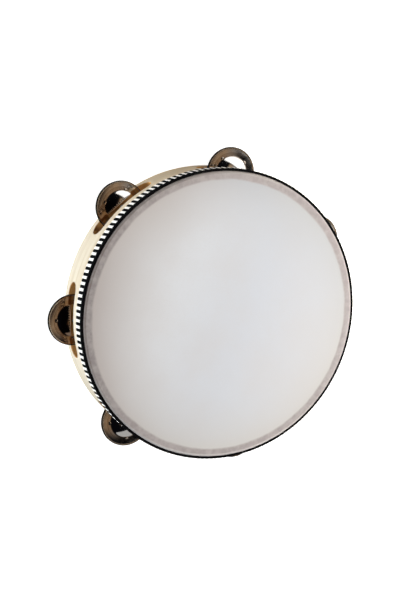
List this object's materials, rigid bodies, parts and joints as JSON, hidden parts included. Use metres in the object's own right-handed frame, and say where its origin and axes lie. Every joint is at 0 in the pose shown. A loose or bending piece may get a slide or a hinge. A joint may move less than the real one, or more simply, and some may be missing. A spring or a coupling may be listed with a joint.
{
  "type": "tambourine",
  "caption": "Round frame drum: a bent wooden hoop with a stretched skin head, a braid trim and pairs of metal jingles that ring on pins in its slots when it is struck or shaken.",
  "frame": {"origin": "centre of the open rim's face, which the drum lies on", "axes": "+Z along the drum's axis from the open rim to the head, +Y through the first slot"},
  "size_m": [0.281, 0.275, 0.055],
  "materials": {
    "wood": "pale, clear satin varnish",
    "skin": "smooth, translucent, slightly mottled",
    "braid": "woven in black and white bars",
    "nickel": "polished nickel plate",
    "steel": "drawn wire"
  },
  "bodies": {
    "drum": {"hoop": "wood", "head_skin": "skin", "edge_braid": "braid", "head_tacks": "steel"},
    "pin_1": {"jingle_pin_1": "steel"},
    "lower_1": {"jingle_lower_1": "nickel"},
    "upper_1": {"jingle_upper_1": "nickel"},
    "pin_2": {"jingle_pin_2": "steel"},
    "lower_2": {"jingle_lower_2": "nickel"},
    "upper_2": {"jingle_upper_2": "nickel"},
    "pin_3": {"jingle_pin_3": "steel"},
    "lower_3": {"jingle_lower_3": "nickel"},
    "upper_3": {"jingle_upper_3": "nickel"},
    "pin_4": {"jingle_pin_4": "steel"},
    "lower_4": {"jingle_lower_4": "nickel"},
    "upper_4": {"jingle_upper_4": "nickel"},
    "pin_5": {"jingle_pin_5": "steel"},
    "lower_5": {"jingle_lower_5": "nickel"},
    "upper_5": {"jingle_upper_5": "nickel"},
    "pin_6": {"jingle_pin_6": "steel"},
    "lower_6": {"jingle_lower_6": "nickel"},
    "upper_6": {"jingle_upper_6": "nickel"},
    "pin_7": {"jingle_pin_7": "steel"},
    "lower_7": {"jingle_lower_7": "nickel"},
    "upper_7": {"jingle_upper_7": "nickel"}
  },
  "joints": [
    {"name": "pin_spin_1", "type": "hinge", "parent": "drum", "child": "pin_1", "pos_m": [0, 0.12125, 0.0135], "axis": [0, 0, 1], "continuous": true},
    {"name": "lower_lift_1", "type": "slide", "parent": "pin_1", "child": "lower_1", "axis": [0, 0, 1], "range_m": [0, 0.00265]},
    {"name": "upper_lift_1", "type": "slide", "parent": "lower_1", "child": "upper_1", "axis": [0, 0, 1], "range_m": [0, 0.00265]},
    {"name": "pin_spin_2", "type": "hinge", "parent": "drum", "child": "pin_2", "pos_m": [-0.0948, 0.0756, 0.0135], "axis": [0, 0, 1], "continuous": true},
    {"name": "lower_lift_2", "type": "slide", "parent": "pin_2", "child": "lower_2", "axis": [0, 0, 1], "range_m": [0, 0.00265]},
    {"name": "upper_lift_2", "type": "slide", "parent": "lower_2", "child": "upper_2", "axis": [0, 0, 1], "range_m": [0, 0.00265]},
    {"name": "pin_spin_3", "type": "hinge", "parent": "drum", "child": "pin_3", "pos_m": [-0.11821, -0.02698, 0.0135], "axis": [0, 0, 1], "continuous": true},
    {"name": "lower_lift_3", "type": "slide", "parent": "pin_3", "child": "lower_3", "axis": [0, 0, 1], "range_m": [0, 0.00265]},
    {"name": "upper_lift_3", "type": "slide", "parent": "lower_3", "child": "upper_3", "axis": [0, 0, 1], "range_m": [0, 0.00265]},
    {"name": "pin_spin_4", "type": "hinge", "parent": "drum", "child": "pin_4", "pos_m": [-0.05261, -0.10924, 0.0135], "axis": [0, 0, 1], "continuous": true},
    {"name": "lower_lift_4", "type": "slide", "parent": "pin_4", "child": "lower_4", "axis": [0, 0, 1], "range_m": [0, 0.00265]},
    {"name": "upper_lift_4", "type": "slide", "parent": "lower_4", "child": "upper_4", "axis": [0, 0, 1], "range_m": [0, 0.00265]},
    {"name": "pin_spin_5", "type": "hinge", "parent": "drum", "child": "pin_5", "pos_m": [0.05261, -0.10924, 0.0135], "axis": [0, 0, 1], "continuous": true},
    {"name": "lower_lift_5", "type": "slide", "parent": "pin_5", "child": "lower_5", "axis": [0, 0, 1], "range_m": [0, 0.00265]},
    {"name": "upper_lift_5", "type": "slide", "parent": "lower_5", "child": "upper_5", "axis": [0, 0, 1], "range_m": [0, 0.00265]},
    {"name": "pin_spin_6", "type": "hinge", "parent": "drum", "child": "pin_6", "pos_m": [0.11821, -0.02698, 0.0135], "axis": [0, 0, 1], "continuous": true},
    {"name": "lower_lift_6", "type": "slide", "parent": "pin_6", "child": "lower_6", "axis": [0, 0, 1], "range_m": [0, 0.00265]},
    {"name": "upper_lift_6", "type": "slide", "parent": "lower_6", "child": "upper_6", "axis": [0, 0, 1], "range_m": [0, 0.00265]},
    {"name": "pin_spin_7", "type": "hinge", "parent": "drum", "child": "pin_7", "pos_m": [0.0948, 0.0756, 0.0135], "axis": [0, 0, 1], "continuous": true},
    {"name": "lower_lift_7", "type": "slide", "parent": "pin_7", "child": "lower_7", "axis": [0, 0, 1], "range_m": [0, 0.00265]},
    {"name": "upper_lift_7", "type": "slide", "parent": "lower_7", "child": "upper_7", "axis": [0, 0, 1], "range_m": [0, 0.00265]}
  ]
}
